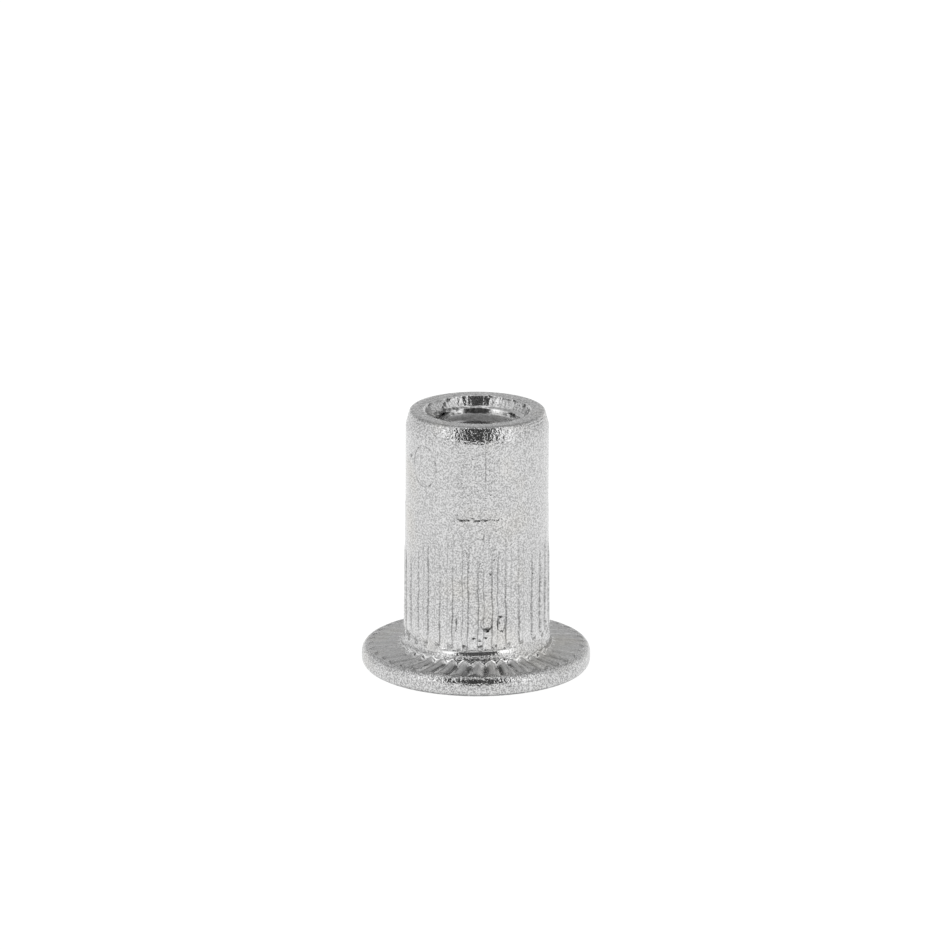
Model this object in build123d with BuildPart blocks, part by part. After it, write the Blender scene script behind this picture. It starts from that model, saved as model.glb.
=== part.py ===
"""Open-end rivet nut with a flat head, a ribbed shank and a serrated under-head face.

The nut stands on the outer face of its head. +Z runs up the shank, from the
head, where the screw enters, to the open threaded end. Sizes in millimetres.
"""

import os
from build123d import *

# Driving dimensions
total_height = 12.65
thread_diameter = 5.0
thread_pitch = 0.8
head_diameter = 11.0
shank_diameter = 6.86
upper_shank_diameter = 6.82
rib_count = 30
serration_count = 40

# Head: a flat disc with a barrelled rim, its serrated face falling gently outwards
head_radius = head_diameter / 2
rim_rounding = 0.32
rim_height = 0.98
rim_inner_radius = head_radius - rim_rounding

# Collar: the short drafted foot between the serrated face and the shank, which
# runs out to it through a slim cone
collar_foot_radius = 3.64
collar_foot_height = 1.10
collar_top_radius = 3.57
collar_top_height = 1.58
collar_shoulder_radius = 3.48
collar_shoulder_height = 1.70
collar_flare_height = 2.25

# Shank: a thin-walled lower part that collapses, below a thick tapped part
shank_radius = shank_diameter / 2
upper_shank_radius = upper_shank_diameter / 2
shank_step_height = 8.10
shank_step_run = 0.06

# Lead-in: a steep taper at the top end, then a small chamfer to the flat rim
lead_in_height = 0.80
lead_in_radius = 3.26
lead_in_chamfer = 0.10

# Bore: a collapse chamber behind the head, the tapped hole, and its mouth, which
# has a tapered wall, a narrow ledge at the wall's foot and a steep lead to the thread
thread_minor_radius = (thread_diameter - 1.0825 * thread_pitch) / 2
chamber_radius = 2.72
chamber_height = 6.20
chamber_shoulder_height = 6.60
entry_chamfer = 0.12
mouth_radius = 2.51
mouth_depth = 0.47
mouth_throat_radius = 2.32
mouth_throat_height = total_height - mouth_depth
ledge_drop = 0.12
ledge_inner_radius = 2.13
ledge_inner_height = mouth_throat_height - ledge_drop
thread_lead_length = 0.29
thread_start_height = ledge_inner_height - thread_lead_length

# Ribs: narrow bars that run out up the shank and stand proudest where they meet the collar
rib_width = 0.26
rib_root_radius = 3.28
rib_foot_radius = 3.55
rib_foot_height = 1.62
rib_flare_height = 2.30
rib_crest_radius = 3.51
rib_top_radius = 3.40
rib_top_height = 7.30
rib_start_angle = 9.0

# Serrations: radial V grooves that widen outwards and stop short of the rim
serration_inner_radius = 3.58
serration_outer_radius = 5.06
serration_inner_width = 0.44
serration_outer_width = 0.68
serration_steepness = 0.22
serration_start_angle = 4.5
face_slope = (collar_foot_height - rim_height) / (rim_inner_radius - collar_foot_radius)


def groove_profile(radius, width):
    """Corners of the V at a radius: its point below the face, its top as far above it."""
    surface = collar_foot_height - face_slope * (radius - collar_foot_radius)
    depth = width * serration_steepness
    return [(-width, surface + depth), (0, surface - depth), (width, surface + depth)]


# One rib, drawn in the radial plane and thickened to both sides of it
with BuildPart() as rib:
    with BuildSketch(Plane.XZ):
        with BuildLine():
            Polyline(
                (rib_root_radius, rib_foot_height),
                (rib_foot_radius, rib_foot_height),
                (rib_crest_radius, rib_flare_height),
                (rib_top_radius, rib_top_height),
                (rib_root_radius, rib_top_height),
                close=True,
            )
        make_face()
    extrude(amount=rib_width / 2, both=True)

# One serration groove, lofted outwards along the slope of the head's face
with BuildPart() as serration:
    with BuildSketch(Plane.YZ.offset(serration_inner_radius)):
        Polygon(*groove_profile(serration_inner_radius, serration_inner_width), align=None)
    with BuildSketch(Plane.YZ.offset(serration_outer_radius)):
        Polygon(*groove_profile(serration_outer_radius, serration_outer_width), align=None)
    loft(ruled=True)

# The nut: one turned section, then the ribs added and the serrations cut round it
with BuildPart() as rivet_nut:
    with BuildSketch(Plane.XZ):
        with BuildLine():
            # Head, from the screw's entry out to the barrelled rim
            Line((chamber_radius + entry_chamfer, 0), (rim_inner_radius, 0))
            RadiusArc((rim_inner_radius, 0), (head_radius, rim_rounding), -rim_rounding)
            Line((head_radius, rim_rounding), (head_radius, rim_height - rim_rounding))
            RadiusArc(
                (head_radius, rim_height - rim_rounding),
                (rim_inner_radius, rim_height),
                -rim_rounding,
            )
            # Serrated face, collar, shank and lead-in taper
            Polyline(
                (rim_inner_radius, rim_height),
                (collar_foot_radius, collar_foot_height),
                (collar_top_radius, collar_top_height),
                (collar_shoulder_radius, collar_shoulder_height),
                (shank_radius, collar_flare_height),
                (shank_radius, shank_step_height),
                (upper_shank_radius, shank_step_height + shank_step_run),
                (upper_shank_radius, total_height - lead_in_height),
                (lead_in_radius, total_height - lead_in_chamfer),
                (lead_in_radius - lead_in_chamfer, total_height),
                # Flat rim, mouth, tapped hole at its minor diameter, collapse chamber
                (mouth_radius, total_height),
                (mouth_throat_radius, mouth_throat_height),
                (ledge_inner_radius, ledge_inner_height),
                (thread_minor_radius, thread_start_height),
                (thread_minor_radius, chamber_shoulder_height),
                (chamber_radius, chamber_height),
                (chamber_radius, entry_chamfer),
                (chamber_radius + entry_chamfer, 0),
            )
        make_face()
    revolve(axis=Axis.Z)

    with PolarLocations(0, rib_count, start_angle=rib_start_angle):
        add(rib.part)

    with PolarLocations(0, serration_count, start_angle=serration_start_angle):
        add(serration.part, mode=Mode.SUBTRACT)

rivet_nut.part.label = "rivet_nut"
os.makedirs("parts", exist_ok=True)
export_step(rivet_nut.part, "parts/rivet_nut.step")
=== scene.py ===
"""A cold-formed aluminium rivet nut on a pale table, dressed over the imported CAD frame.

The nut stands on the outer face of its head, with the open threaded end up.
Sizes of the nut are in millimetres and turned to metres where its mesh is made.
"""
import math

import bpy
import numpy as np
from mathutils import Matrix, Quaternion, Vector


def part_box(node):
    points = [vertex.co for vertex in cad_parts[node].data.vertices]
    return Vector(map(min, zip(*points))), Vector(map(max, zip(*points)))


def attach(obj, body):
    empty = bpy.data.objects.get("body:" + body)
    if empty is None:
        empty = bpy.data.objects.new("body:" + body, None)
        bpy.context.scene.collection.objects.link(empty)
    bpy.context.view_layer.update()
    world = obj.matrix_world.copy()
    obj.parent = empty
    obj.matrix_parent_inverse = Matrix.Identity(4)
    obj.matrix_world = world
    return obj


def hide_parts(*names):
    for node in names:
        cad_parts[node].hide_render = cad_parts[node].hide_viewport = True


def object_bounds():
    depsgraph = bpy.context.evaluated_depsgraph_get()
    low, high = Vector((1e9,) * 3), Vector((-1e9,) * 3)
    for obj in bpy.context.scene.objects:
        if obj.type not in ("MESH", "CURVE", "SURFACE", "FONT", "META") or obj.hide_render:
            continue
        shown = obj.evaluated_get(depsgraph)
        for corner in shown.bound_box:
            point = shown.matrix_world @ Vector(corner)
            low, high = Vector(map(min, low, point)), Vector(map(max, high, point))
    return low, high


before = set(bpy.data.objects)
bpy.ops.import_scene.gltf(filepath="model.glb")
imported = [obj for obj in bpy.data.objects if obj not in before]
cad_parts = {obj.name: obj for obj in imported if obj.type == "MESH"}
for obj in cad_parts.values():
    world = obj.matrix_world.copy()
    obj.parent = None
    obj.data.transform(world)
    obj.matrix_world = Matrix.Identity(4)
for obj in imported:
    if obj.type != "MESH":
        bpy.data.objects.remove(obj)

cad_low, cad_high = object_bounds()

# ---------------------------------------------------------------------------
# Camera. A long lens about a third of a metre in front of the nut looks down
# on it, aimed at its upper part, so that the nut stands below the middle.
# ---------------------------------------------------------------------------
nut_height = cad_high.z - cad_low.z
long_lens = bpy.data.cameras.new("long_lens")
long_lens.lens = 273.3
long_lens.sensor_width = 36.0
long_lens.clip_start = 0.01
long_lens.clip_end = 20.0
camera = bpy.data.objects.new("camera", long_lens)
camera.location = (0.0, -0.3300, 0.10515)
aim_point = Vector((-0.0001, 0.0, 0.7422 * nut_height))
level_gaze = (aim_point - camera.location).to_track_quat("-Z", "Y")
stand_tilt = Quaternion((0.0, 0.0, 1.0), 0.0046)
camera.rotation_mode = "QUATERNION"
camera.rotation_quaternion = level_gaze @ stand_tilt
bpy.context.scene.collection.objects.link(camera)
bpy.context.scene.camera = camera
bpy.context.scene.view_settings.view_transform = "Standard"

# ---------------------------------------------------------------------------
# Light. A white cloth tent lights the nut softly from all round: brightest on
# both sides of its dark opening for the lens, dimmer behind and overhead.
# ---------------------------------------------------------------------------
tent = bpy.data.worlds.new("light_tent")
bpy.context.scene.world = tent
tent.use_nodes = True
tent_nodes = tent.node_tree.nodes
tent_links = tent.node_tree.links
tent_nodes.clear()

tent_way = tent_nodes.new("ShaderNodeTexCoord")
tent_axes = tent_nodes.new("ShaderNodeSeparateXYZ")
tent_links.new(tent_way.outputs["Generated"], tent_axes.inputs["Vector"])

side_step = tent_nodes.new("ShaderNodeMath")
side_step.operation = "ABSOLUTE"
tent_links.new(tent_axes.outputs["X"], side_step.inputs[0])
front_step = tent_nodes.new("ShaderNodeMath")
front_step.operation = "MULTIPLY"
front_step.inputs[1].default_value = -1.0
tent_links.new(tent_axes.outputs["Y"], front_step.inputs[0])
bearing = tent_nodes.new("ShaderNodeMath")
bearing.operation = "ARCTAN2"
tent_links.new(side_step.outputs["Value"], bearing.inputs[0])
tent_links.new(front_step.outputs["Value"], bearing.inputs[1])
bearing_share = tent_nodes.new("ShaderNodeMath")
bearing_share.operation = "DIVIDE"
bearing_share.inputs[1].default_value = math.pi
tent_links.new(bearing.outputs["Value"], bearing_share.inputs[0])


def cloth_ramp(name, stops):
    """Brightness of the tent from its front, 0, round to its back, 180 degrees: straight runs
    between the stops, each a bearing in degrees and a share of the brightest cloth."""
    ramp_node = tent_nodes.new("ShaderNodeValToRGB")
    ramp_node.name = name
    ramp = ramp_node.color_ramp
    while len(ramp.elements) < len(stops):
        ramp.elements.new(1.0)
    for element, (degrees, share) in zip(ramp.elements, stops):
        element.position = degrees / 180.0
        element.color = (share, share, share, 1.0)
    tent_links.new(bearing_share.outputs["Value"], ramp_node.inputs["Fac"])
    return ramp_node


tent_foot = cloth_ramp(
    "tent_foot",
    [(0.0, 0.06), (33.0, 0.06), (35.5, 1.0), (52.0, 1.0), (68.0, 0.62), (120.0, 0.52), (180.0, 0.52)],
)
tent_shoulder = cloth_ramp(
    "tent_shoulder",
    [(0.0, 0.06), (33.0, 0.06), (35.5, 0.9), (52.0, 0.9), (68.0, 0.52), (120.0, 0.32), (180.0, 0.32)],
)
shoulder_share = tent_nodes.new("ShaderNodeMapRange")
shoulder_share.interpolation_type = "SMOOTHSTEP"
shoulder_share.inputs["From Min"].default_value = 0.20
shoulder_share.inputs["From Max"].default_value = 0.50
tent_links.new(tent_axes.outputs["Z"], shoulder_share.inputs["Value"])
tent_wall = tent_nodes.new("ShaderNodeMix")
tent_wall.data_type = "RGBA"
tent_links.new(shoulder_share.outputs["Result"], tent_wall.inputs["Factor"])
tent_links.new(tent_foot.outputs["Color"], tent_wall.inputs["A"])
tent_links.new(tent_shoulder.outputs["Color"], tent_wall.inputs["B"])
roof_share = tent_nodes.new("ShaderNodeMapRange")
roof_share.interpolation_type = "SMOOTHSTEP"
roof_share.inputs["From Min"].default_value = 0.972
roof_share.inputs["From Max"].default_value = 0.992
tent_links.new(tent_axes.outputs["Z"], roof_share.inputs["Value"])
tent_cloth = tent_nodes.new("ShaderNodeMix")
tent_cloth.data_type = "RGBA"
tent_cloth.inputs["B"].default_value = (0.62, 0.62, 0.62, 1.0)
tent_links.new(roof_share.outputs["Result"], tent_cloth.inputs["Factor"])
tent_links.new(tent_wall.outputs["Result"], tent_cloth.inputs["A"])

tent_light = tent_nodes.new("ShaderNodeBackground")
tent_light.inputs["Strength"].default_value = 1.60
tent_links.new(tent_cloth.outputs["Result"], tent_light.inputs["Color"])
tent_end = tent_nodes.new("ShaderNodeOutputWorld")
tent_links.new(tent_light.outputs["Background"], tent_end.inputs["Surface"])

# ---------------------------------------------------------------------------
# Table. A plain white sheet, lit through from below as on a product table,
# so that nothing throws a hard shadow on it.
# ---------------------------------------------------------------------------
table_reach = 3.0
table_level = cad_low.z - 2e-6
table_mesh = bpy.data.meshes.new("table")
table_mesh.from_pydata(
    [
        (-table_reach, -table_reach, table_level),
        (table_reach, -table_reach, table_level),
        (table_reach, table_reach, table_level),
        (-table_reach, table_reach, table_level),
    ],
    [],
    [(0, 1, 2, 3)],
)
table = bpy.data.objects.new("table", table_mesh)
bpy.context.scene.collection.objects.link(table)

white_sheet = bpy.data.materials.new("white_sheet")
white_sheet.use_nodes = True
sheet_shader = white_sheet.node_tree.nodes["Principled BSDF"]
sheet_shader.inputs["Base Color"].default_value = (0.12, 0.12, 0.12, 1.0)
sheet_shader.inputs["Roughness"].default_value = 1.0
sheet_shader.inputs["Specular IOR Level"].default_value = 0.0
sheet_shader.inputs["Emission Color"].default_value = (1.0, 1.0, 1.0, 1.0)
sheet_shader.inputs["Emission Strength"].default_value = 0.98
table_mesh.materials.append(white_sheet)

# Dark card. It stands in front of the nut, below the lens and out of its sight, and
# gives the bright metal the dark patch that faces the lens.
card_distance = 0.150
card_half_width = 0.102
card_top = 0.132
card_mesh = bpy.data.meshes.new("dark_card")
card_mesh.from_pydata(
    [
        (-card_half_width, -card_distance, table_level),
        (card_half_width, -card_distance, table_level),
        (card_half_width, -card_distance, card_top),
        (-card_half_width, -card_distance, card_top),
    ],
    [],
    [(3, 2, 1, 0)],
)
dark_card = bpy.data.objects.new("dark_card", card_mesh)
bpy.context.scene.collection.objects.link(dark_card)
dark_card.visible_camera = False
dark_card.visible_diffuse = False
dark_card.visible_shadow = False

black_felt = bpy.data.materials.new("black_felt")
black_felt.use_nodes = True
felt_shader = black_felt.node_tree.nodes["Principled BSDF"]
felt_shader.inputs["Base Color"].default_value = (0.09, 0.09, 0.09, 1.0)
felt_shader.inputs["Roughness"].default_value = 1.0
felt_shader.inputs["Specular IOR Level"].default_value = 0.0
card_mesh.materials.append(black_felt)

# ---------------------------------------------------------------------------
# Rivet nut. One piece of soft aluminium, cold-formed from a slug: a flat head
# with a serrated under-face, a short collar, a ribbed thin-walled shank, and
# a thick upper shank that is pierced, tapped and left with a worn, sandy skin.
# ---------------------------------------------------------------------------

# The head's radius, taken across the frame's facets, a hair inside its full circle.
head_radius = 1000.0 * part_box("rivet_nut")[1].y

# Points round the outside, 20 to a rib and 15 to a groove, and half as many round the bore.
columns = 600
bore_columns = columns // 2


def wander(azimuth, waves, seed):
    """Uneven hand of the metal round the axis: a sum of sines of the azimuth, one for each count of
    waves, each with its own seeded phase and strength, scaled to about plus or minus one."""
    dice = np.random.default_rng(seed)
    counts = np.asarray(waves, float)
    phases = dice.uniform(0.0, 2.0 * math.pi, counts.size)
    strengths = dice.uniform(0.5, 1.0, counts.size)
    swing = np.sin(azimuth[..., None] * counts + phases) * strengths
    return swing.sum(axis=-1) / math.sqrt((strengths**2).sum())


def ease(low, high, value):
    """Smooth step: 0 below low, 1 above high, and 3t^2 - 2t^3 between, t being the share of the way."""
    share = np.clip((value - low) / (high - low), 0.0, 1.0)
    return share * share * (3.0 - 2.0 * share)


# Outer section, from the flat foot of the head out round its rim, in to the collar,
# and up the shank to the flat ring round the mouth: radius and height of every row.
foot_flat = np.array([[3.40, 0.0], [4.40, 0.0], [5.12, 0.0]])
foot_turn = np.linspace(0.0, 0.5 * math.pi, 6)
rim_foot = np.column_stack(
    [head_radius - 0.31 + 0.31 * np.sin(foot_turn), 0.36 - 0.36 * np.cos(foot_turn)]
)
rim_wall = np.array([[head_radius, 0.44], [head_radius, 0.50], [head_radius, 0.56]])
rim_crown = np.array(
    [[5.494, 0.655], [5.479, 0.73], [5.453, 0.80], [5.415, 0.868], [5.368, 0.925], [5.325, 0.965],
     [5.285, 0.985], [5.235, 0.992]]
)
face_radii = np.array(
    [5.16, 5.08, 5.01, 4.95, 4.87, 4.75, 4.58, 4.38, 4.18, 4.0, 3.88, 3.79, 3.72, 3.67]
)
serrated_face = np.column_stack([face_radii, 1.105 - 0.075 * (face_radii - 3.64)])
collar_rows = np.array(
    [[3.640, 1.13], [3.622, 1.20], [3.612, 1.28], [3.604, 1.36], [3.598, 1.44], [3.594, 1.49],
     [3.590, 1.515], [3.580, 1.56], [3.569, 1.61], [3.561, 1.64], [3.546, 1.655], [3.500, 1.681],
     [3.455, 1.706], [3.440, 1.716], [3.435, 1.732]]
)
shank_heights = np.concatenate(
    [np.arange(1.79, 2.45, 0.08), np.arange(2.60, 5.9, 0.30), np.arange(6.1, 7.95, 0.14)]
)
ribbed_shank = np.column_stack(
    [3.43 + 0.005 * (1.0 - ease(1.70, 2.25, shank_heights)), shank_heights]
)
ring_line = np.array(
    [[3.43, 7.98], [3.43, 8.05], [3.424, 8.09], [3.412, 8.12], [3.410, 8.16], [3.410, 8.24]]
)
upper_heights = np.array([8.5, 9.0, 9.6, 10.2, 10.8, 11.3, 11.62, 11.78, 11.86])
upper_shank = np.column_stack([np.full(upper_heights.size, 3.410), upper_heights])
lead_in = np.array(
    [[3.405, 11.94], [3.390, 12.02], [3.350, 12.17], [3.304, 12.34], [3.266, 12.47],
     [3.246, 12.54], [3.222, 12.59], [3.180, 12.628], [3.120, 12.646], [3.04, 12.65],
     [2.93, 12.65]]
)
outer_section = np.vstack(
    [foot_flat, rim_foot, rim_wall, rim_crown, serrated_face, collar_rows, ribbed_shank,
     ring_line, upper_shank, lead_in]
)
row_radius = outer_section[:, :1]
row_height = outer_section[:, 1:]
first_face_row = len(foot_flat) + len(rim_foot) + len(rim_wall) + len(rim_crown)
first_collar_row = first_face_row + len(serrated_face)

# Ribs: the 30 bars are a little uneven in place, in degrees, and each runs out at its own
# height. The ones in front are set one by one.
rib_count = 30
rib_pitch = 360.0 / rib_count
rib_dice = np.random.default_rng(11)
rib_shift = rib_dice.uniform(-0.8, 0.8, rib_count)
rib_tops = rib_dice.uniform(6.3, 7.5, rib_count)
rib_shift[[0, 1, 2, 3, 4]] = [0.5, -0.5, -1.1, -1.1, 1.0]
rib_shift[[-1, -2, -3, -4, -5, -6]] = [0.1, -0.4, 0.5, 0.7, 1.0, 1.0]
rib_tops[[0, 1, 2, 3, 4]] = [6.5, 6.85, 7.45, 7.15, 6.5]
rib_tops[[-1, -2, -3, -4, -5, -6]] = [7.15, 7.60, 7.15, 6.95, 6.35, 6.2]

# Serrations: 40 radial grooves, slanted slightly and also a little uneven in place and in
# depth.
serration_count = 40
serration_pitch = 360.0 / serration_count
serration_dice = np.random.default_rng(5)
serration_shift = serration_dice.uniform(-0.5, 0.9, serration_count)
serration_shift[[0, 1, -1, -2, -3]] = [1.4, 1.4, 0.7, 0.2, 0.7]
serration_depths = serration_dice.uniform(0.85, 1.1, serration_count)

rib_start = 3.0
serration_start = 4.5
column = np.arange(columns)
column_turn = 360.0 * column / columns
rib_of_column = np.rint(column_turn / rib_pitch).astype(int) % rib_count
rib_offset = (column_turn + 0.5 * rib_pitch) % rib_pitch - 0.5 * rib_pitch
rib_local = np.sign(rib_offset) * np.interp(np.abs(rib_offset), [0, 1.2, 3.6, 6.0], [0, 1.5, 2.7, 6.0])
rib_moved = rib_shift[rib_of_column] * (1.0 - ease(2.7, 6.0, np.abs(rib_local)))
rib_azimuth = rib_start + column_turn - rib_offset + rib_local + rib_moved
serration_offset = (column_turn + 0.5 * serration_pitch) % serration_pitch - 0.5 * serration_pitch
serration_of_column = np.rint(column_turn / serration_pitch).astype(int) % serration_count
serration_near = np.interp(
    column_turn,
    serration_pitch * np.arange(-1, serration_count + 1),
    np.concatenate([serration_shift[-1:], serration_shift, serration_shift[:1]]),
)
even_azimuth = serration_start + column_turn


def groove_share(row_radius):
    """How far each column lies from the middle of its groove, from 0 to 1 at its edge: distance
    along the ring over half the groove's width, which grows evenly from the collar to the crown."""
    half_width = 0.5 * (0.40 + 0.15 * (row_radius - 3.58))
    across = np.radians(serration_offset)[None, :] * row_radius
    return np.clip(np.abs(across) / half_width, 0.0, 1.0)


def serration_end(share):
    """Radius at which a groove ends in the crown: a round scallop that falls off with the square
    of the share of half width, and wanders a little round the head."""
    return 5.18 - 0.20 * share**2 - 0.03 * wander(np.radians(even_azimuth)[None, :], [7, 19, 31], 6)


def serration_depth(row_radius):
    """Depth of the radial grooves: each is a rounded V, one less the share of half width to the
    power 1.5. It deepens outwards, closes in a round end at the collar and at the crown, and is
    deeper in front than behind."""
    share = groove_share(row_radius)
    inner_end = ease(0.0, 0.16, row_radius - (3.61 + 0.08 * share**2))
    outer_end = 1.0 - ease(-0.20, 0.05, row_radius - serration_end(share))
    one_side = 0.65 + 0.35 * ease(0.0, 0.8, np.cos(np.radians(even_azimuth)))
    depth = (0.100 + 0.022 * (row_radius - 3.6)) * one_side
    depth = depth * serration_depths[serration_of_column][None, :]
    return depth * (1.0 - share**1.5) * inner_end * outer_end


def land_fillet(row_radius, row_height):
    """Rise of the small fillet by which each land between two grooves runs up into the collar:
    nothing on a groove's middle, share of half width cubed to either side, eased away outwards
    and upwards, and fainter at the two sides of the nut."""
    reach = (1.0 - ease(3.64, 3.90, row_radius)) * (1.0 - ease(1.12, 1.36, row_height))
    at_sides = ease(0.85, 0.97, np.abs(np.sin(np.radians(even_azimuth))))[None, :]
    return 0.12 * groove_share(row_radius) ** 3 * reach * (1.0 - 0.7 * at_sides)


def rib_rise(row_height):
    """Height of the ribs over the shank: a flat-topped bar about four degrees wide with steep
    sides, low at its top end where it runs out, and a little wider at its foot on the collar."""
    crest = 1.0 - ease(1.72, 2.42, np.abs(rib_local))[None, :]
    narrowed = 1.0 - 0.16 * (1.0 - ease(1.7, 2.3, row_height))
    flare = 1.0 - ease(2.05, 2.62, np.abs(rib_local) * narrowed)
    tops = rib_tops[rib_of_column][None, :]
    bar = np.interp(row_height, [1.7, 2.4, 7.0], [0.080, 0.078, 0.042])
    run_out = 1.0 - ease(-1.1, 0.0, row_height - tops)
    foot = 0.014 * (1.0 - ease(2.02, 2.30, row_height))
    settle = 1.0 - 0.45 * (1.0 - ease(1.70, 2.10, row_height))
    return bar * settle * run_out * crest + foot * flare


# The columns follow the grooves on the head and the ribs on the shank, and pass from
# one to the other on the collar and above the ring line.
on_ribs = ease(1.12, 1.60, row_height) * (1.0 - ease(7.9, 9.0, row_height))
on_grooves = ease(0.40, 0.95, row_height) * (1.0 - ease(1.3, 2.0, row_height))
slant = -1.7 * ease(3.7, 5.2, row_radius)
azimuth = np.radians(
    (1.0 - on_ribs) * (even_azimuth[None, :] + on_grooves * (serration_near[None, :] + slant))
    + on_ribs * rib_azimuth[None, :]
)
long_sway = 0.30 * np.sin(2.1 * row_height + 3.0 * azimuth)
short_sway = 0.22 * np.sin(4.7 * row_height + 8.0 * azimuth + 1.0)
azimuth = azimuth + np.radians(long_sway + short_sway) * on_ribs
radius = np.repeat(row_radius, columns, axis=1)
height = np.repeat(row_height, columns, axis=1)

row_number = np.arange(len(outer_section))[:, None]
on_face = (row_number >= first_face_row - 1) & (row_number < first_collar_row + 3)
grooves = serration_depth(row_radius) * on_face
height = height - grooves + land_fillet(row_radius, row_height) * on_face

# The collar is drawn down at the two sides, more on one of them, where the ribs are also
# lower and run out over it.
collar_and_foot = (row_height < 2.2) * (row_number >= first_collar_row)
on_side = ease(0.30, 0.62, np.abs(np.sin(azimuth))) * collar_and_foot
side_section = np.interp(row_height, [1.13, 1.28, 1.45, 1.75, 2.10], [3.635, 3.605, 3.56, 3.475, 3.435])
side_lean = 0.04 * ease(0.2, 0.9, -np.sin(azimuth)) * ease(1.25, 1.45, row_height)
radius = radius + on_side * (side_section - side_lean - row_radius)
rib_worn = 1.0 - 0.35 * ease(0.5, 1.0, -np.sin(np.radians(rib_azimuth)))[None, :]
rib_surface = np.minimum(row_radius, 3.435) + rib_rise(row_height) * rib_worn
radius = np.where(row_number >= first_collar_row, np.maximum(radius, rib_surface), radius)

# Unevenness of the forming: a head that is off round, a collar that stands taller behind
# than in front, and a ring line that wavers.
on_rim = ease(4.6, 5.3, row_radius) * (row_height < 1.2)
off_round = np.maximum(0.5 + 0.5 * wander(azimuth, [2, 3, 4, 5, 7], 21), 0.0)
radius = radius - 0.022 * on_rim * off_round
collar_side = ease(1.10, 1.60, row_height) * (1.0 - ease(1.75, 2.30, row_height))
height = height + 0.10 * np.sin(azimuth) * collar_side * (row_number >= first_collar_row)
ring_side = ease(7.5, 8.0, row_height) * (1.0 - ease(8.3, 9.5, row_height))
height = height + 0.05 * wander(azimuth, [1, 2, 3, 5], 8) * ring_side

# In places the ring line is worn away to a plain slope.
ring_ramp = np.interp(row_height, [7.98, 8.24], [3.43, 3.41]) - row_radius
ring_worn = ease(-0.5, 0.5, wander(azimuth, [9, 15, 26, 38, 57], 9))
radius = radius + ring_worn * ring_ramp * (np.abs(row_height - 8.11) < 0.14)

outer_points = np.stack(
    [radius * np.sin(azimuth), -radius * np.cos(azimuth), height], axis=-1
)

# Mouth: the flat ring, its worn inner edge, the drawn wall with streaks down it, the
# narrow ledge at its foot and the steep edge that leads to the thread, in level rows.
bore_turn = 360.0 * np.arange(bore_columns) / bore_columns
bore_azimuth = np.radians(bore_turn + serration_start)[None, :]
mouth_section = np.array(
    [[2.75, 12.65], [2.61, 12.65], [2.555, 12.648], [2.525, 12.635], [2.505, 12.61],
     [2.485, 12.56], [2.455, 12.49], [2.422, 12.41], [2.388, 12.33], [2.358, 12.26],
     [2.334, 12.21], [2.312, 12.184], [2.26, 12.148], [2.205, 12.110], [2.172, 12.086],
     [2.160, 12.06], [2.144, 12.00], [2.128, 11.94], [2.112, 11.88]]
)
mouth_radius = np.repeat(mouth_section[:, :1], bore_columns, axis=1)
mouth_height = np.repeat(mouth_section[:, 1:], bore_columns, axis=1)
edge_wear = ease(2.62, 2.53, mouth_radius) * ease(12.30, 12.55, mouth_height)
mouth_radius = mouth_radius + 0.018 * edge_wear * wander(bore_azimuth, [5, 9, 14, 23, 31, 47], 3)
on_wall = ease(12.66, 12.58, mouth_height) * ease(2.30, 2.34, mouth_radius)
wall_streak = wander(bore_azimuth, [17, 26, 41, 59, 77], 4)
mouth_radius = mouth_radius + 0.005 * on_wall * wall_streak
mouth_points = np.stack(
    [mouth_radius * np.sin(bore_azimuth), -mouth_radius * np.cos(bore_azimuth), mouth_height],
    axis=-1,
)

# Thread: right-hand metric thread of 0.8 pitch. Its rows run along the helix, so that
# every crest and root is a clean line, and each turn joins the one below at the seam.
thread_pitch = 0.8
crest_radius = 2.067
root_radius = 2.50
turn_shares = np.array([0.0, 0.212, 0.25, 0.525, 0.5625, 0.65, 0.6875, 0.9625])
turn_rows = turn_shares.size
turn_count = 9
helix_drop = thread_pitch * (
    np.repeat(np.arange(turn_count), turn_rows) + np.tile(turn_shares, turn_count)
)
helix_top = 12.115
thread_top = 11.74
thread_foot = 6.16


def thread_section(share):
    """Radius of the thread over one pitch, share running from 0 to 1: the crest flat for a quarter, a
    straight flank out, the root flat for an eighth, and a straight flank back, with eased corners."""
    return np.interp(
        share % 1.0,
        [0.0, 0.212, 0.25, 0.525, 0.5625, 0.65, 0.6875, 0.9625, 1.0],
        [crest_radius, crest_radius, crest_radius + 0.03, root_radius - 0.03, root_radius,
         root_radius, root_radius - 0.03, crest_radius + 0.03, crest_radius],
    )


helix_rise = thread_pitch * np.arange(bore_columns)[None, :] / bore_columns
helix_height = helix_top - helix_drop[:, None] + helix_rise
thread_share = np.repeat(helix_drop[:, None] / thread_pitch, bore_columns, axis=1)

# Rows that would run past the thread's top or foot are squeezed close to it, and the
# nearest row is drawn to each corner of the bore.
squeeze = 0.10
thread_height = np.where(
    helix_height > thread_top, thread_top + squeeze * (helix_height - thread_top), helix_height
)
thread_height = np.where(
    helix_height < thread_foot, thread_foot - squeeze * (thread_foot - helix_height), thread_height
)
for corner_height in (6.20, 6.60, 11.77):
    nearest_row = np.abs(thread_height - corner_height).argmin(axis=0)
    thread_height[nearest_row, np.arange(bore_columns)] = corner_height

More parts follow.
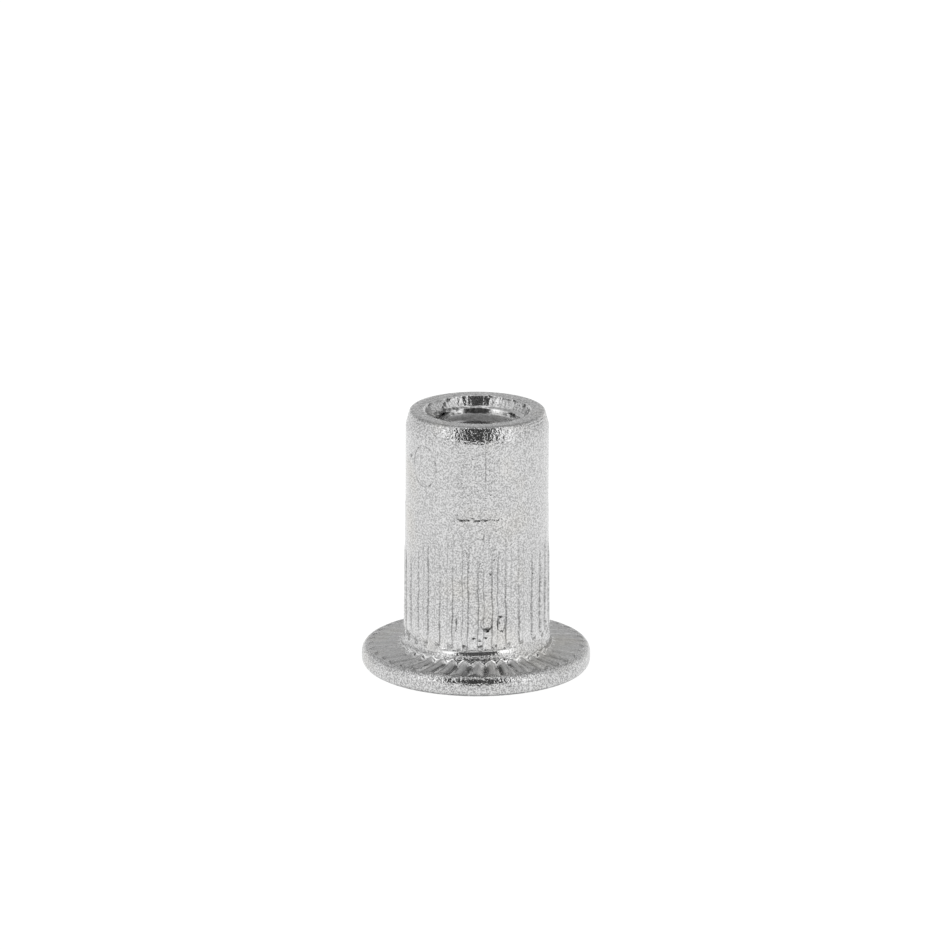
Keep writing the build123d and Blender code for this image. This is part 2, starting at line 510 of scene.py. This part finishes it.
# The thread never reaches inside the bore, which narrows from the chamber to the crests
# and widens again up its lead.
bore_limit = np.interp(
    thread_height,
    [5.0, 6.20, 6.60, 6.62, 11.40, 11.77, 11.88],
    [2.72, 2.72, 2.067, 2.0, 2.067, 2.090, 2.112],
)
tapped = 1.0 - ease(11.52, 11.70, thread_height)
cut_radius = crest_radius + (thread_section(thread_share) - crest_radius) * tapped
thread_radius = np.maximum(cut_radius, bore_limit)
thread_points = np.stack(
    [
        thread_radius * np.sin(bore_azimuth),
        -thread_radius * np.cos(bore_azimuth),
        thread_height,
    ],
    axis=-1,
)

# Chamber: the plain thin-walled part behind the head and its small entry edge, then the
# inner part of the head's flat foot.
chamber_section = np.array(
    [[2.72, 5.90], [2.72, 4.0], [2.72, 2.0], [2.72, 0.14], [2.735, 0.09], [2.81, 0.015],
     [2.85, 0.0], [3.05, 0.0]]
)
chamber_radius = np.repeat(chamber_section[:, :1], bore_columns, axis=1)
chamber_height = np.repeat(chamber_section[:, 1:], bore_columns, axis=1)
chamber_points = np.stack(
    [
        chamber_radius * np.sin(bore_azimuth),
        -chamber_radius * np.cos(bore_azimuth),
        chamber_height,
    ],
    axis=-1,
)


def ring_quads(first_point, rows, width):
    """Four-sided faces of a closed grid: each joins a point, its neighbour round the ring, and the two
    below them in the next row, with the last column joined to the first."""
    near = np.arange(width)
    far = (near + 1) % width
    start = first_point + width * np.arange(rows - 1)[:, None]
    below = start + width
    return np.stack([start + near, start + far, below + far, below + near], -1).reshape(-1, 4)


def halving_faces(first_wide, first_narrow, narrow_width, wide_is_above):
    """Flat faces between a ring and one of half as many points: each takes two steps of the wide
    ring and one of the narrow ring."""
    step = np.arange(narrow_width)
    wide = first_wide + np.stack([2 * step, 2 * step + 1, (2 * step + 2) % (2 * narrow_width)], -1)
    narrow = first_narrow + np.stack([(step + 1) % narrow_width, step], -1)
    faces = np.concatenate([wide, narrow], axis=1)
    return faces if wide_is_above else faces[:, ::-1]


# The grids are joined into one closed skin: outside, mouth, thread, chamber, foot.
grids = [outer_points, mouth_points, thread_points, chamber_points]
starts = np.cumsum([0] + [grid.shape[0] * grid.shape[1] for grid in grids])
outer_start, mouth_start, thread_start, chamber_start = starts[:4]
skin_points = np.concatenate([grid.reshape(-1, 3) for grid in grids])
outer_rows, mouth_rows = outer_points.shape[0], mouth_points.shape[0]
thread_rows, chamber_rows = thread_points.shape[0], chamber_points.shape[0]

thread_start_row = thread_start + bore_columns * np.arange(thread_rows - 1)[:, None]
turn_near = np.arange(bore_columns - 1)
helix_quads = np.stack(
    [
        thread_start_row + turn_near,
        thread_start_row + turn_near + 1,
        thread_start_row + bore_columns + turn_near + 1,
        thread_start_row + bore_columns + turn_near,
    ],
    axis=-1,
).reshape(-1, 4)
seam_left = thread_start + bore_columns * np.arange(turn_rows, thread_rows - 1) + bore_columns - 1
seam_right = seam_left - bore_columns * turn_rows - (bore_columns - 1)
seam_quads = np.stack(
    [seam_left, seam_right, seam_right + bore_columns, seam_left + bore_columns], axis=-1
)

land_ring = mouth_start + bore_columns * (mouth_rows - 1)
helix_head = thread_start + turn_near
land_quads = np.stack(
    [land_ring + turn_near, land_ring + turn_near + 1, helix_head + 1, helix_head], axis=-1
)
land_seam = np.concatenate(
    [
        [land_ring + bore_columns - 1, land_ring, thread_start],
        thread_start + bore_columns * np.arange(turn_rows, -1, -1) + bore_columns - 1,
    ]
)
helix_tail = thread_start + bore_columns * (thread_rows - 1)
tail_quads = np.stack(
    [
        helix_tail + turn_near,
        helix_tail + turn_near + 1,
        chamber_start + turn_near + 1,
        chamber_start + turn_near,
    ],
    axis=-1,
)
tail_seam = np.concatenate(
    [
        [chamber_start, chamber_start + bore_columns - 1, helix_tail + bore_columns - 1],
        thread_start + bore_columns * np.arange(thread_rows - 1 - turn_rows, thread_rows),
    ]
)

foot_ring = chamber_start + bore_columns * (chamber_rows - 1)
skin_faces = (
    ring_quads(outer_start, outer_rows, columns).tolist()
    + halving_faces(outer_start + columns * (outer_rows - 1), mouth_start, bore_columns, True).tolist()
    + ring_quads(mouth_start, mouth_rows, bore_columns).tolist()
    + land_quads.tolist()
    + [land_seam.tolist()]
    + helix_quads.tolist()
    + seam_quads.tolist()
    + tail_quads.tolist()
    + [tail_seam.tolist()]
    + ring_quads(chamber_start, chamber_rows, bore_columns).tolist()
    + halving_faces(outer_start, foot_ring, bore_columns, False).tolist()
)

# Marks that the finish reads: how sandy each point of the skin is, how dirty it is and how much painted
# shade lies in its corners, how dull, from 0 to 2, and whether it is inside, 0 or 1. The outside comes
# first.
# A line of painted shade on both sides of each rib, in the corner where it meets the shank.
foot_line = np.exp(-(((np.abs(rib_local) - 2.45) / 0.52) ** 2))[None, :]
bar_height = np.interp(row_height, [1.7, 2.4, 7.0], [0.08, 0.07, 0.035])
bar_end = ease(-0.75, 0.0, row_height - rib_tops[rib_of_column][None, :])
bar_there = ease(0.0, 0.02, bar_height * (1.0 - bar_end))
on_shank = ease(1.70, 2.0, row_height) * (1.0 - ease(8.2, 8.3, row_height))
on_serrations = (
    ease(0.03, -0.05, row_radius - serration_end(groove_share(row_radius)))
    * ease(3.60, 3.70, row_radius)
    * (row_number >= first_face_row)
)

# The sand is thick on the head's rim and crown and on the taper, thinner on the shank, and
# thinnest in the pressed grooves and on the flat foot.
sandiness = np.ones_like(height)
sandiness = sandiness - 0.40 * ease(1.45, 1.70, row_height) * ease(11.9, 11.7, row_height)
sandiness = sandiness - 0.12 * ease(1.60, 1.80, row_height) * ease(3.2, 2.2, row_height)
sandiness = sandiness + 0.15 * ease(11.92, 12.02, row_height) * ease(12.60, 12.50, row_height)
sandiness = sandiness - 0.60 * on_serrations
on_crown = ease(0.80, 0.90, row_height) * ease(4.92, 5.02, row_radius)
sandiness = sandiness + 0.6 * on_crown * (1.0 - on_serrations)
sandiness = sandiness - 0.70 * (row_height <= 0.0)

# On the collar it grows up to a smoother strip below the shoulder. The drawn-down sides
# have no such strip.
on_collar = (row_number >= first_collar_row) & (row_number < first_collar_row + len(collar_rows))
collar_sand = np.interp(
    row_height,
    [1.13, 1.20, 1.28, 1.51, 1.54, 1.64, 1.66, 1.74],
    [0.20, 0.40, 0.80, 0.80, 0.25, 0.25, 0.45, 0.50],
)
collar_sand = collar_sand + on_side * ease(1.40, 1.55, row_height) * (0.55 - collar_sand)
sandiness = np.where(on_collar, collar_sand, sandiness)

# Painted shade lies along the feet of the ribs and along the head's bottom edge under its rim, where
# shade falls; there is also dirt on the edge of the mouth.
rib_foot_shade = 0.42 + 0.20 * wander(azimuth, [4, 7, 11, 18], 17)
dirt_and_shade_mark = rib_foot_shade * foot_line * bar_there * on_shank * ease(1.9, 2.5, row_height)
# Painted shade on the rounded bottom edge of the head, where it meets the table.
dirt_and_shade_mark = dirt_and_shade_mark + 1.8 * ease(0.17, 0.06, row_height)
dirt_and_shade_mark = dirt_and_shade_mark + 0.30 * ease(3.22, 3.14, row_radius) * (row_height > 12.0)

# How dull the lands between the grooves are.
land_share = 1.0 - np.clip(grooves / 0.05, 0.0, 1.0)
dullness = on_serrations * ease(3.72, 3.84, row_radius) * (0.15 + 0.80 * land_share)

# In the bore, the mouth's wall is streaked, its ledge and lead carry painted shade, darker on one side,
# and the first crest of the thread is dull.
wall_smear = wander(bore_azimuth, [13, 22, 37, 58, 83, 110], 14)
on_ring = ease(2.55, 2.60, mouth_radius)
on_ledge = ease(12.20, 12.17, mouth_height)
# Painted shade in the ledge at the foot of the wall, darker on one side of the bore.
ledge_shade = 0.62 - 0.42 * np.sin(bore_azimuth)
mouth_sand = 0.10 + on_wall * (0.60 + 0.15 * wall_smear) + 0.9 * on_ring
wall_dirt = np.clip(0.02 + 0.15 * wall_smear, 0.0, 0.7)
mouth_dirt_and_shade = wall_dirt * on_wall + ledge_shade * on_ledge + 0.30 * on_ring
mouth_dullness = 0.14 * on_wall + 0.03 * on_ledge
first_crest = ease(11.30, 11.50, thread_height)
thread_sand = 0.14 + 0.20 * first_crest
thread_dullness = 0.15 + 0.85 * first_crest
crest_smear = wander(bore_azimuth, [7, 12, 19, 31, 46], 25)
thread_residue = first_crest * np.clip(0.14 * crest_smear - 0.05, 0.0, 0.6)
chamber_shape = chamber_points.shape[:2]

nut_mesh = bpy.data.meshes.new("rivet_nut_skin")
nut_mesh.from_pydata((0.001 * skin_points).tolist(), [], skin_faces)
nut_mesh.shade_smooth()
nut_mesh.set_sharp_from_angle(angle=math.radians(38.0))
for mark_name, skin_marks in (
    ("sandiness", [sandiness, mouth_sand, thread_sand, np.full(chamber_shape, 0.14)]),
    ("dirt_and_shade_mark", [dirt_and_shade_mark, mouth_dirt_and_shade, thread_residue, np.zeros(chamber_shape)]),
    ("dullness", [dullness, mouth_dullness, thread_dullness, np.zeros(chamber_shape)]),
    (
        "inside",
        [
            np.zeros(radius.shape),
            np.ones(mouth_radius.shape),
            np.ones(thread_radius.shape),
            np.ones(chamber_shape),
        ],
    ),
):
    mark = nut_mesh.attributes.new(mark_name, "FLOAT", "POINT")
    values = np.concatenate([grid_marks.ravel() for grid_marks in skin_marks])
    mark.data.foreach_set("value", np.clip(values, 0.0, 2.0).astype(np.float32))
nut = bpy.data.objects.new("nut", nut_mesh)
bpy.context.scene.collection.objects.link(nut)

# Finish: bright aluminium with a fine sandy skin, and painted shade darkening its corners.
tumbled_grain = bpy.data.node_groups.new("tumbled_grain", "ShaderNodeTree")
tumbled_grain.interface.new_socket("Position", in_out="INPUT", socket_type="NodeSocketVector")
tumbled_grain.interface.new_socket("Scale", in_out="INPUT", socket_type="NodeSocketFloat")
tumbled_grain.interface.new_socket("Height", in_out="OUTPUT", socket_type="NodeSocketFloat")
grain_in = tumbled_grain.nodes.new("NodeGroupInput")
grain_out = tumbled_grain.nodes.new("NodeGroupOutput")
grain_noise = tumbled_grain.nodes.new("ShaderNodeTexNoise")
grain_noise.inputs["Detail"].default_value = 1.0
grain_noise.inputs["Roughness"].default_value = 0.5
tumbled_grain.links.new(grain_in.outputs["Position"], grain_noise.inputs["Vector"])
tumbled_grain.links.new(grain_in.outputs["Scale"], grain_noise.inputs["Scale"])
tumbled_grain.links.new(grain_noise.outputs["Fac"], grain_out.inputs["Height"])

bright_aluminium = bpy.data.materials.new("bright_aluminium")
bright_aluminium.use_nodes = True
finish = bright_aluminium.node_tree
finish_nodes = finish.nodes
metal = finish_nodes["Principled BSDF"]
metal.inputs["Metallic"].default_value = 1.0

place = finish_nodes.new("ShaderNodeTexCoord")


def skin_mark(name):
    """One of the skin's own marks, as a value over the surface."""
    mark_node = finish_nodes.new("ShaderNodeAttribute")
    mark_node.attribute_name = name
    return mark_node.outputs["Fac"]


def grain_height(scale):
    """Height of the tumbled grain from 0 to 1: noise at the nut's own place, of a scale per metre."""
    grain_node = finish_nodes.new("ShaderNodeGroup")
    grain_node.node_tree = tumbled_grain
    grain_node.inputs["Scale"].default_value = scale
    finish.links.new(place.outputs["Object"], grain_node.inputs["Position"])
    return grain_node.outputs["Height"]


def stretched(value, low, high, start=0.0, end=1.0):
    """Straight run from start to end as the value goes from low to high, held at both ends."""
    stretch_node = finish_nodes.new("ShaderNodeMapRange")
    stretch_node.inputs["From Min"].default_value = low
    stretch_node.inputs["From Max"].default_value = high
    stretch_node.inputs["To Min"].default_value = start
    stretch_node.inputs["To Max"].default_value = end
    finish.links.new(value, stretch_node.inputs["Value"])
    return stretch_node.outputs["Result"]


def worked_out(operation, *terms):
    """One sum over the surface, of values and plain numbers in the order of the operation's terms."""
    sum_node = finish_nodes.new("ShaderNodeMath")
    sum_node.operation = operation
    for socket, term in zip(sum_node.inputs, terms):
        if isinstance(term, float):
            socket.default_value = term
        else:
            finish.links.new(term, socket)
    return sum_node.outputs["Value"]


def toned(share, first, second, blend="MIX"):
    """Colour that goes from the first tone to the second, or to both multiplied, as the share goes from
    0 to 1. A tone is a plain colour or one that varies over the surface."""
    tone_node = finish_nodes.new("ShaderNodeMix")
    tone_node.data_type = "RGBA"
    tone_node.blend_type = blend
    finish.links.new(share, tone_node.inputs["Factor"])
    for side, tone in (("A", first), ("B", second)):
        if isinstance(tone, tuple):
            tone_node.inputs[side].default_value = tone
        else:
            finish.links.new(tone, tone_node.inputs[side])
    return tone_node.outputs["Result"]


# Relief of the sand: a fine grain on a coarser one, both as deep as the skin is sandy.
sand = skin_mark("sandiness")
sand_grain = worked_out("MULTIPLY_ADD", grain_height(4200.0), 1.2, grain_height(11000.0))
sand_height = worked_out("MULTIPLY", sand_grain, sand)

# Tone: clean metal where the skin is smooth, and light and dark grains where it is sandy.
clean_metal = (0.81, 0.81, 0.81, 1.0)
dark_grains = (0.34, 0.34, 0.34, 1.0)
light_grains = (0.70, 0.70, 0.70, 1.0)
speckled_skin = toned(stretched(grain_height(13000.0), 0.36, 0.62), dark_grains, light_grains)
skin_tone = toned(stretched(sand, 0.15, 0.65), clean_metal, speckled_skin)

# Scars of handling on the shank. Each is an oval in millimetres on the unrolled skin: the
# way round the axis at the shank's radius, the height, and nought outside or one in the
# bore. A ring of one draws the oval's outline, a ring of nought fills it, and the band is
# the line's width in ovals.
oval_mark = bpy.data.node_groups.new("oval_mark", "ShaderNodeTree")
oval_mark.interface.new_socket("Unrolled", in_out="INPUT", socket_type="NodeSocketVector")
oval_mark.interface.new_socket("Centre", in_out="INPUT", socket_type="NodeSocketVector")
oval_mark.interface.new_socket("Reach", in_out="INPUT", socket_type="NodeSocketVector")
oval_mark.interface.new_socket("Ring", in_out="INPUT", socket_type="NodeSocketFloat")
oval_mark.interface.new_socket("Band", in_out="INPUT", socket_type="NodeSocketFloat")
oval_mark.interface.new_socket("Strength", in_out="INPUT", socket_type="NodeSocketFloat")
oval_mark.interface.new_socket("Mark", in_out="OUTPUT", socket_type="NodeSocketFloat")
scar_in = oval_mark.nodes.new("NodeGroupInput")
scar_out = oval_mark.nodes.new("NodeGroupOutput")
scar_offset = oval_mark.nodes.new("ShaderNodeVectorMath")
scar_offset.operation = "SUBTRACT"
oval_mark.links.new(scar_in.outputs["Unrolled"], scar_offset.inputs[0])
oval_mark.links.new(scar_in.outputs["Centre"], scar_offset.inputs[1])
scar_ovals = oval_mark.nodes.new("ShaderNodeVectorMath")
scar_ovals.operation = "DIVIDE"
oval_mark.links.new(scar_offset.outputs["Vector"], scar_ovals.inputs[0])
oval_mark.links.new(scar_in.outputs["Reach"], scar_ovals.inputs[1])
scar_distance = oval_mark.nodes.new("ShaderNodeVectorMath")
scar_distance.operation = "LENGTH"
oval_mark.links.new(scar_ovals.outputs["Vector"], scar_distance.inputs[0])
off_line = oval_mark.nodes.new("ShaderNodeMath")
off_line.operation = "SUBTRACT"
oval_mark.links.new(scar_distance.outputs["Value"], off_line.inputs[0])
oval_mark.links.new(scar_in.outputs["Ring"], off_line.inputs[1])
line_distance = oval_mark.nodes.new("ShaderNodeMath")
line_distance.operation = "ABSOLUTE"
oval_mark.links.new(off_line.outputs["Value"], line_distance.inputs[0])
line_fade = oval_mark.nodes.new("ShaderNodeMapRange")
line_fade.interpolation_type = "SMOOTHSTEP"
line_fade.inputs["From Min"].default_value = 0.0
line_fade.inputs["To Max"].default_value = 0.0
oval_mark.links.new(line_distance.outputs["Value"], line_fade.inputs["Value"])
oval_mark.links.new(scar_in.outputs["Band"], line_fade.inputs["From Max"])
oval_mark.links.new(scar_in.outputs["Strength"], line_fade.inputs["To Min"])
oval_mark.links.new(line_fade.outputs["Result"], scar_out.inputs["Mark"])

place_axes = finish_nodes.new("ShaderNodeSeparateXYZ")
finish.links.new(place.outputs["Object"], place_axes.inputs["Vector"])
shank_skin_radius = 3.42
place_front = worked_out("MULTIPLY", place_axes.outputs["Y"], -1.0)
place_turn = worked_out("ARCTAN2", place_axes.outputs["X"], place_front)
unrolled = finish_nodes.new("ShaderNodeCombineXYZ")
finish.links.new(worked_out("MULTIPLY", place_turn, shank_skin_radius), unrolled.inputs["X"])
finish.links.new(worked_out("MULTIPLY", place_axes.outputs["Z"], 1000.0), unrolled.inputs["Y"])
finish.links.new(skin_mark("inside"), unrolled.inputs["Z"])

# Azimuth in degrees, height, half width and half height, ring, band, and strength.
handling_scars = [
    (-47.5, 10.47, 0.76, 1.00, 1.0, 0.06, 0.8),
    (-66.0, 10.74, 0.15, 0.12, 0.0, 1.0, 2.2),
    (-33.5, 11.22, 0.09, 0.17, 0.0, 1.0, 3.0),
    (6.8, 10.70, 0.045, 1.90, 0.0, 1.0, 1.3),
    (5.6, 7.30, 0.045, 0.50, 0.0, 1.0, 0.9),
    (9.8, 7.25, 0.045, 0.50, 0.0, 1.0, 0.9),
    (10.4, 5.50, 0.09, 0.13, 0.0, 1.0, 1.8),
    (8.1, 3.03, 0.28, 0.32, 1.0, 0.18, 0.7),
    (8.5, 2.72, 0.28, 0.15, 0.0, 1.0, 2.2),
    (19.9, 2.96, 0.20, 0.38, 1.0, 0.20, 0.7),
    (17.0, 2.98, 0.05, 0.30, 0.0, 1.0, 1.2),
    (19.0, 3.32, 0.16, 0.07, 0.0, 1.0, 1.6),
    (20.4, 2.59, 0.12, 0.07, 0.0, 1.0, 1.6),
    (18.4, 3.04, 0.07, 0.07, 0.0, 1.0, 1.6),
    (-16.3, 3.05, 0.055, 0.60, 0.0, 1.0, 1.6),
    (-2.0, 2.29, 0.13, 0.065, 0.0, 1.0, 2.0),
    (2.6, 2.23, 0.09, 0.08, 0.0, 1.0, 2.0),
    (7.1, 2.32, 0.13, 0.06, 0.0, 1.0, 1.8),
    (-10.0, 1.88, 0.13, 0.13, 0.0, 1.0, 1.6),
    (2.8, 1.88, 0.15, 0.13, 0.0, 1.0, 1.8),
    (15.5, 1.90, 0.06, 0.10, 0.0, 1.0, 1.4),
    (-16.3, 2.66, 0.08, 0.09, 0.0, 1.0, 1.8),
    (60.0, 12.50, 1.50, 0.035, 0.0, 1.0, 1.4),
    (64.0, 12.36, 1.10, 0.030, 0.0, 1.0, 1.0),
    (-58.0, 12.42, 0.90, 0.030, 0.0, 1.0, 0.9),
]

# The same for the mouth's wall: flecks left by the punch and the tap, and painted shade in its folds
# and along its inner edge.
mouth_flecks_and_shade = [
    (-145.0, 12.52, 0.22, 0.12, 0.0, 1.0, 1.8),
    (-140.0, 12.36, 0.20, 0.14, 0.0, 1.0, 1.8),
    (-136.0, 12.20, 0.20, 0.14, 0.0, 1.0, 2.0),
    (-131.0, 11.92, 0.80, 0.26, 0.0, 1.0, 2.6),
    (-130.0, 12.58, 0.60, 0.07, 0.0, 1.0, 2.0),
    (-113.0, 12.56, 0.70, 0.06, 0.0, 1.0, 1.6),
    (140.0, 12.57, 0.95, 0.07, 0.0, 1.0, 2.0),
    (116.0, 12.52, 0.34, 0.16, 0.0, 1.0, 2.6),
    (97.0, 12.50, 0.26, 0.14, 0.0, 1.0, 2.0),
    (129.0, 11.97, 0.60, 0.16, 0.0, 1.0, 2.2),
    (166.0, 12.58, 0.80, 0.06, 0.0, 1.0, 1.8),
]
outside, in_the_bore = 0.0, 1.0
marks = [(outside, *row) for row in handling_scars] + [(in_the_bore, *row) for row in mouth_flecks_and_shade]
scars_and_painted_shade = None
for where, turn, level, half_width, half_height, ring, band, strength in marks:
    one_mark = finish_nodes.new("ShaderNodeGroup")
    one_mark.node_tree = oval_mark
    one_mark.inputs["Centre"].default_value = (math.radians(turn) * shank_skin_radius, level, where)
    one_mark.inputs["Reach"].default_value = (half_width, half_height, 0.4)
    one_mark.inputs["Ring"].default_value = ring
    one_mark.inputs["Band"].default_value = band
    one_mark.inputs["Strength"].default_value = strength
    finish.links.new(unrolled.outputs["Vector"], one_mark.inputs["Unrolled"])
    if scars_and_painted_shade is None:
        scars_and_painted_shade = one_mark.outputs["Mark"]
    else:
        scars_and_painted_shade = worked_out("ADD", scars_and_painted_shade, one_mark.outputs["Mark"])

# The scars and the painted shade of the mouth's folds are broken along their length, and pressed into
# the sand.
scar_breaks = stretched(grain_height(2300.0), 0.38, 0.58, 0.25, 1.10)
broken_scars_and_shade = worked_out("MULTIPLY", scars_and_painted_shade, scar_breaks)
skin_relief = worked_out("MULTIPLY_ADD", broken_scars_and_shade, -0.8, sand_height)
skin_bump = finish_nodes.new("ShaderNodeBump")
skin_bump.inputs["Strength"].default_value = 1.0
skin_bump.inputs["Distance"].default_value = 2.6e-5
finish.links.new(skin_relief, skin_bump.inputs["Height"])
finish.links.new(skin_bump.outputs["Normal"], metal.inputs["Normal"])

# Dirt and painted shade darken the tone in the corners, the scars and the mouth's folds, in patches:
# they are broken up by a coarser grain.
darkening_patches = stretched(grain_height(7000.0), 0.40, 0.60, 0.35, 1.25)
dirt_and_painted_shade = worked_out("MULTIPLY", worked_out("ADD", skin_mark("dirt_and_shade_mark"), broken_scars_and_shade), darkening_patches)
dirt_and_painted_shade.node.use_clamp = True
worn_and_shaded_tone = toned(dirt_and_painted_shade, skin_tone, (0.17, 0.17, 0.17, 1.0))

# Faint warm stains, a few millimetres across.
stains = stretched(grain_height(420.0), 0.55, 0.75)
stained_tone = toned(stains, worn_and_shaded_tone, (1.0, 0.985, 0.95, 1.0), blend="MULTIPLY")
finish.links.new(stained_tone, metal.inputs["Base Color"])
finish.links.new(stretched(skin_mark("dullness"), 0.0, 1.0, 0.15, 0.65), metal.inputs["Roughness"])
nut_mesh.materials.append(bright_aluminium)

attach(nut, "root")
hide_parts("rivet_nut")
